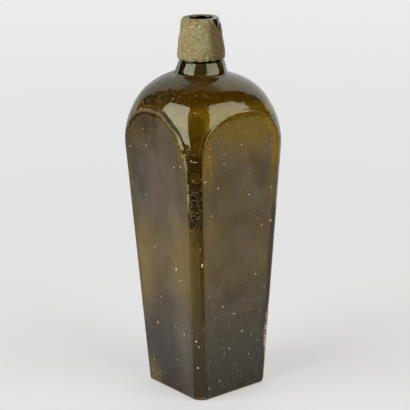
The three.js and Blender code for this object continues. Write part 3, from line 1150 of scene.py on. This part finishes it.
def collar_material():
    """Dark olive glass, wet-looking, with slow waves, fine scratches and a painted reflection on the rim."""
    material, start, place = new_material("dark_olive_glass")
    relief = place.noise(210.0) + 0.15 * place.noise(1500.0, 1.0)
    normal = bumped(start, 0.3, 0.4 * mm, relief)
    glass = glass_finish(start, 0.05 + 0.12 * place.noise(400.0), normal)
    # A pale film on the rim's top: a painted reflection of the backdrop.
    rim_reflection = matt(start, shade(150, 146, 138), 0.5, Normal=normal)
    on_top = place.axis("Z").rise(bottle_height - 0.7 * mm, bottle_height - 0.3 * mm)
    glass_output(start, mixed(start, 0.6 * on_top, glass, rim_reflection), collar_density)
    return material


collar.data.materials.append(collar_material())
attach(collar, "root")
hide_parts("laid_on_collar")
print("the collar is dressed")

# %% [markdown]
# ## The crust
# Round the collar sits what is left of an old seal, or of the soil that the bottle lay in: a sandy,
# gritty skin up to a millimetre thick. It has no two places alike, so its thickness is a sum of noises
# of several sizes, worked out point by point over a sleeve that follows the collar and turns in over
# the rim. Where it has broken away, its faces are left out and its edge thins down to nothing. A
# displacement modifier could raise the grit too, but not leave out the broken place.

# %% Noise in plain numbers


def hashed(cells, seed):
    """A number from 0 to 1 for each cell of a grid, always the same one."""
    mixed_up = cells @ np.array([127.1, 311.7, 74.7]) + 17.3 * seed
    return np.modf(np.abs(np.sin(mixed_up)) * 43758.5453)[0]


def value_noise(points, size, seed=0):
    """Smooth noise from -1 to 1 at points, with lumps of a size in millimetres."""
    scaled = points / (size * mm)
    cell = np.floor(scaled)
    share = smooth(scaled, cell, cell + 1)
    total = np.zeros(points.shape[:-1])
    for corner in np.ndindex(2, 2, 2):
        weight = np.prod(np.where(corner, share, 1 - share), axis=-1)
        total += weight * hashed(cell + corner, seed)
    return 2 * total - 1


print("noise at the origin:", round(float(value_noise(np.zeros((1, 3)), 1)[0]), 3))

# %% The crust's grid
crust_columns = 288
crust_step = 0.36 * mm
crust_gap = 0.05 * mm
crust_body = 0.85 * mm
crust_low = 0.9 * mm
crust_heavy_side = math.radians(142)
over_rim = np.linspace(rim_centre, top_bore + rim_rounding * 0.6, 7)[1:]
crust_path = np.vstack([
    rounded_outline(flank[flank[:, 1] > crust_low], crust_step),
    rim_outer,
    np.column_stack([over_rim, np.full(len(over_rim), collar_height - rim_cover)]),
])
path_steps = np.diff(crust_path, axis=0, prepend=crust_path[:1] - (0, crust_step))
path_steps[1:-1] = crust_path[2:] - crust_path[:-2]
crust_out = np.column_stack([path_steps[:, 1], -path_steps[:, 0]])
crust_out = crust_out / np.hypot(*crust_out.T)[:, None]
crust_turn = full_turn(crust_columns)
grid_radius, grid_height = crust_path[:, :1], crust_path[:, 1:] + 0 * crust_turn
grid_points = turned(grid_radius, crust_turn, grid_height)
print("the crust's grid is", len(crust_path), "by", crust_columns)

# %% The broken place and the ragged edges
tear_edge = np.array([
    (-0.42, -0.02), (-0.34, 0.16), (-0.06, 0.55), (0.19, 1.0), (0.36, 0.60), (0.62, 0.44), (0.76, -0.02),
]) * (tear_width, tear_depth)
break_wander = 0.22 * mm
bare_rim_edge = np.array([(-6.2, 6.0), (-4.5, 20.0), (8.8, 20.0), (8.8, 3.0), (4.0, 3.0)]) * mm


def distance_inside(outline, *coordinates):
    """How far points of a plane lie inside a closed outline, negative where they are outside."""
    points = np.stack(coordinates, axis=2)
    nearest = np.full(points.shape[:-1], np.inf)
    crossings = np.zeros(points.shape[:-1], dtype=int)
    for start, end in zip(outline, np.roll(outline, -1, axis=0)):
        along = end - start
        share = np.clip(((points - start) @ along) / (along @ along), 0, 1)
        nearest = np.minimum(nearest, np.linalg.norm(points - start - share[..., None] * along, axis=-1))
        straddles = (start[1] > points[..., 1]) != (end[1] > points[..., 1])
        rise = np.where(along[1] == 0, 1, along[1])
        cross = start[0] + (points[..., 1] - start[1]) * along[0] / rise
        crossings += straddles & (points[..., 0] < cross)
    return np.where(crossings % 2 == 1, nearest, -nearest)


from_tear = crust_turn - tear_bearing
across = grid_radius * np.sin(from_tear)
in_tear = distance_inside(tear_edge, across, collar_height - grid_height)
in_tear = np.where(np.cos(from_tear) > 0, in_tear, -1)
rim_bare = distance_inside(bare_rim_edge, across, grid_radius * np.cos(from_tear))
on_rim = grid_height > collar_height - rim_cover - 0.3 * mm
bare = np.where(on_rim, np.maximum(in_tear, rim_bare), in_tear)
bare = bare + break_wander * value_noise(grid_points, 0.8, 3)
level_points = grid_points * (1, 1, 0)
low_wander = 0.5 * value_noise(level_points, 2.4, 5) + 2.0 * value_noise(level_points, 1.2, 6)
from_low = grid_height - crust_low + low_wander * mm
print("the break leaves out", int((bare > 0).sum()), "points")

# %% The crust's thickness
rim_thickness = 0.7 * rim_cover
least_thickness = 0.03 * mm
heavy_side_extra = 0.3 * mm
rim_fade, break_fade, low_fade = 2.5 * mm, 0.35 * mm, 1.1 * mm
broken_share = 0.35
near_rim = np.clip((collar_height - grid_height) / rim_fade, 0, 1)
lumps = 0.24 * value_noise(grid_points, 5, 1)
lumps = lumps + 0.18 * value_noise(grid_points, 1.9, 2) + 0.15 * value_noise(grid_points, 0.85, 4)
thickness = (rim_thickness + (crust_body - rim_thickness) * near_rim) * (1 + lumps)
thickness = thickness + heavy_side_extra * near_rim * np.cos(crust_turn - crust_heavy_side)
to_break = np.clip(-bare / break_fade, 0, 1)
to_low = np.clip(from_low / low_fade, 0, 1)
thickness = thickness * np.sqrt(to_low) * (broken_share + (1 - broken_share) * to_break) + least_thickness
kept = (bare < 0) & (from_low > 0)
print("the crust is up to", round(float(thickness[kept].max()) / mm, 2), "mm thick")

# %% The crust's mesh
highest_crust = collar_height - 0.01 * mm


def crust_layer(rise):
    """The sleeve's points, raised off the collar's outline by a distance each."""
    radius = grid_radius + crust_out[:, :1] * rise
    height = np.minimum(grid_height + crust_out[:, 1:] * rise, highest_crust)
    return turned(radius, crust_turn, height + seat_height).reshape(-1, 3)


def shell_faces(kept_points):
    """Faces of a closed shell over the kept part of a grid: outside, inside and the edge between."""
    beside = np.roll(kept_points, -1, axis=1)
    cell_kept = kept_points[:-1] & kept_points[1:] & beside[:-1] & beside[1:]
    count = kept_points.size
    number = np.arange(count).reshape(kept_points.shape)
    next_one = np.roll(number, -1, axis=1)
    corners = np.stack([number[:-1], next_one[:-1], next_one[1:], number[1:]], axis=2)
    faces = [corners[cell_kept], corners[cell_kept][:, ::-1] + count]
    padded = np.pad(cell_kept, ((1, 1), (0, 0)))
    edges = [
        (0, 1, padded[:-2]), (2, 3, padded[2:]),
        (1, 2, np.roll(cell_kept, -1, axis=1)), (3, 0, np.roll(cell_kept, 1, axis=1)),
    ]
    for first, second, neighbour in edges:
        open_side = corners[cell_kept & ~neighbour][:, (second, first)]
        faces.append(np.column_stack([open_side, open_side[:, ::-1] + count]))
    return np.vstack(faces)


crust_points = np.vstack([crust_layer(crust_gap + thickness), crust_layer(crust_gap + 0 * thickness)])
crust_faces = shell_faces(kept)
used = np.unique(crust_faces)
crust = piece_of("sandy_crust", crust_points[used], np.searchsorted(used, crust_faces).tolist())
keep_value(crust, "thin_edge", np.tile((1 - np.minimum(to_break, to_low)).ravel(), 2)[used])

# %% [markdown]
# ## Sandy earth
# The crust is matt and mottled: tan and grey-green earth with rusty patches, dark pits and pale
# grains, browner by the break and darker there, which is partly painted shade on the side that only
# the weaker light falls on. Where it turns away on the right it is greyer, a painted sheen. A single
# noise through a ramp would look like marble. So each kind of spot is a mask of its own, at its own
# size, and its colour is laid over the ones before. Pits and grains also go into the relief, where
# they catch the light.

# %% Spots of the crust
crust_finish, start, place = new_material("sandy_earth")
height = place.axis("Z") / mm
rusty = place.shifted((0.3, 0, 0)).noise(190.0, 3.0) + 0.10 * place.towards(-182, 10, 36)
mottle = place.noise(700.0, 3.0, 0.6)
fine = place.noise(1700.0, 2.0, 0.6)
lumpy = place.noise(380.0)
# Browner towards the break, and darker: partly painted shade, as only the weaker light falls there.
brown_and_shaded = place.towards(-74, 0, 44) * (0.45 + mottle)
middle = 0.14 * place.towards(-124, 8, 46) * height.rise(243, 252)
picked = place.cells(330.0, "Color").axis("X") + middle
speck = place.cells(330.0).rise(0.24, 0.14) * picked.rise(0.68, 0.74)
elsewhere = place.shifted((0, 0.2, 0))
pitted = elsewhere.cells(300.0, "Color").axis("Y") + middle
pit = elsewhere.cells(300.0).rise(0.24, 0.13) * pitted.rise(0.84, 0.90)
top = height.rise(bottle_height / mm - 8, bottle_height / mm - 1)
crumbs = place.noise(1000.0, 1.0).rise(0.42, 0.56).colours(shade(66, 54, 32), shade(216, 206, 170))
crumbs = height.rise(247, 244).colours(shade(196, 186, 150), crumbs)
print("the spots take", len(start.tree.nodes), "nodes")

# %% The crust's colours and relief
tan = shade(152, 137, 94)
grey_green = shade(144, 138, 104)
dark_earth = (98, 86, 54)
rust = (146, 116, 68)
cream = (236, 230, 196)
earth = layered(place.noise(110.0, 3.0).rise(0.40, 0.60).colours(tan, grey_green), [
    (0.55 * rusty.rise(0.54, 0.68), rust),
    (0.55 * lumpy.rise(0.50, 0.66), dark_earth),
    (0.45 * mottle.rise(0.54, 0.70), dark_earth),
    (0.45 * mottle.rise(0.47, 0.33), (182, 171, 130)),
    (0.40 * fine.rise(0.53, 0.67), (104, 92, 60)),
    (0.35 * fine.rise(0.47, 0.33), (190, 180, 140)),
    (brown_and_shaded.lowest(0.85), (78, 64, 38)),
    (0.35 * top * lumpy.rise(0.40, 0.60), (96, 90, 58)),
    # Greyer where the crust turns away on the right: a painted sheen.
    (0.7 * place.towards(-40, 8, 24), (112, 106, 96)),
    (0.75 * kept_value(start, "thin_edge"), crumbs),
    (0.8 * pit, (70, 58, 36)),
    (speck * (0.9 - 0.8 * brown_and_shaded), cream),
])
grit = mottle + 0.5 * fine + 0.6 * speck - 0.8 * pit - 0.9 * lumpy
earth = matt(start, earth, 0.92, 0.25, Normal=bumped(start, 1.0, 0.5 * mm, grit))
start.node("OutputMaterial", sockets={"Surface": earth})
print("the crust's finish has", len(start.tree.nodes), "nodes")

# %% Dress the crust
crust.data.materials.append(crust_finish)
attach(crust, "root")
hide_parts("seal_crust")
print("the crust is dressed")

# %% [markdown]
# ## Flecks of the crust
# Grains of the same earth still cling to the glass here and there, more of them towards the corners.
# Each is a small, flat, irregular mound. They could be painted into the glass's material, but a real
# grain stands proud of the surface and catches the light on one side. The largest have places of their
# own and the rest are scattered, so that every side has some.

# %% Choose places for the flecks
fleck_sides = 7
small_flecks = 420
fleck_growth = 1.05
# The largest grains, each read off the picture: pixels from its left edge and from its top, the width
# in millimetres, and the length over the width.
seen_flecks = [
    (140.6, 109, 1.3, 1.0), (146.6, 144.6, 1.2, 0.6), (130.3, 146, 1.2, 1.0), (173.4, 167.3, 1.3, 1.2),
    (180.2, 167, 1.4, 1.6), (145.5, 194.4, 1.0, 0.7), (181.6, 210, 0.9, 1.0), (242.5, 144.6, 1.2, 1.0),
    (209.8, 149.4, 1.2, 1.0), (209.8, 156.8, 1.1, 1.0), (224.4, 163.9, 1.0, 1.4), (204.9, 182.5, 1.5, 1.0),
    (219, 188.5, 1.3, 1.3), (248.7, 194.4, 1.3, 0.7), (212, 216, 1.3, 0.8), (269.8, 220.6, 1.5, 1.2),
    (155, 247, 1.2, 0.8), (176, 269.6, 1.2, 2.6), (181.2, 280.8, 1.0, 1.0), (202.4, 265.6, 1.3, 2.8),
    (256.3, 273.7, 1.1, 1.0), (209.5, 297.8, 1.2, 1.0), (223.4, 306.7, 1.3, 1.0), (232.5, 313.8, 1.1, 1.0),
    (235.4, 313.6, 1.1, 1.0), (158.8, 322.5, 1.1, 2.4), (184.3, 335, 1.0, 2.4), (242, 331, 1.2, 1.0),
    (196.3, 341.6, 1.3, 1.0), (198.7, 347.3, 1.2, 1.2), (228.5, 348.6, 1.2, 1.0), (198, 368, 1.2, 1.4),
    (220.4, 380.4, 1.3, 1.0), (208.4, 388.6, 1.2, 1.0),
]
picture_width = 410
glass_wall = BVHTree.FromPolygons(body_part[0].tolist(), body_part[1])


def seen_place(right, down):
    """The bearing and the height of the glass that the camera sees at a place in its picture."""
    across = (right / picture_width - 0.5) * sensor_width
    up = (0.5 - down / picture_width) * sensor_width
    spot = glass_wall.ray_cast(stand, camera_turn @ Vector((across, up, -lens_length)))[0]
    return math.degrees(math.atan2(spot.y, spot.x)), spot.z


flecks = []
for right, down, size, longer in seen_flecks:
    flecks.append((*seen_place(right, down), fleck_growth * size * mm, longer))
for _ in range(small_flecks):
    corner = 45 + 90 * chance.integers(4)
    flecks.append((
        corner + chance.normal(0, 24), chance.uniform(8, 224) * mm,
        chance.uniform(0.3, 0.8) * mm, chance.uniform(0.7, 1.8),
    ))
print(len(flecks), "flecks cling to the glass")

# %% Make the flecks
fleck_lift = 0.01 * mm
upper_ring, upper_rise, top_rise = 0.6, 0.16, 0.24


def fleck(bearing, height, size, longer):
    """A low mound of a few faces on the outside of the glass."""
    centre, outward = outside_place(bearing, height)
    axes = upright_axes(outward)
    turn = full_turn(fleck_sides)
    reach = size / 2 * chance.uniform(0.7, 1.15, (2, fleck_sides))
    low_ring = turned(reach[0], turn, 0) * (1, longer, 1)
    high_ring = low_ring * upper_ring
    high_ring[:, 2] = upper_rise * size * chance.uniform(0.7, 1.2, fleck_sides)
    rings = np.stack([low_ring, high_ring]) + (0, 0, fleck_lift)
    poles = np.array([(0, 0, fleck_lift), (0, 0, top_rise * size)])
    return sewn(rings @ axes + centre, *(poles @ axes + centre))


fleck_points, fleck_faces = together([fleck(*where) for where in flecks])
fleck_points[:, :2] = np.clip(fleck_points[:, :2], cad_box[0][:2], cad_box[1][:2])
clinging = piece_of("clinging_flecks", fleck_points, fleck_faces)

# %% Dress the flecks


def fleck_material():
    """Pale, dry earth, a little different from grain to grain."""
    material, start, place = new_material("pale_grains")
    earth = place.noise(300.0).rise(0.35, 0.65).colours(shade(232, 224, 190), shade(196, 184, 146))
    normal = bumped(start, 0.6, 0.2 * mm, place.noise(2400.0))
    start.node("OutputMaterial", sockets={"Surface": matt(start, earth, 0.9, 0.3, Normal=normal)})
    return material


clinging.data.materials.append(fleck_material())
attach(clinging, "root")
print("the flecks are dressed")

# %% [markdown]
# ## The finished bottle
# Every piece keeps inside the box of the CAD model.
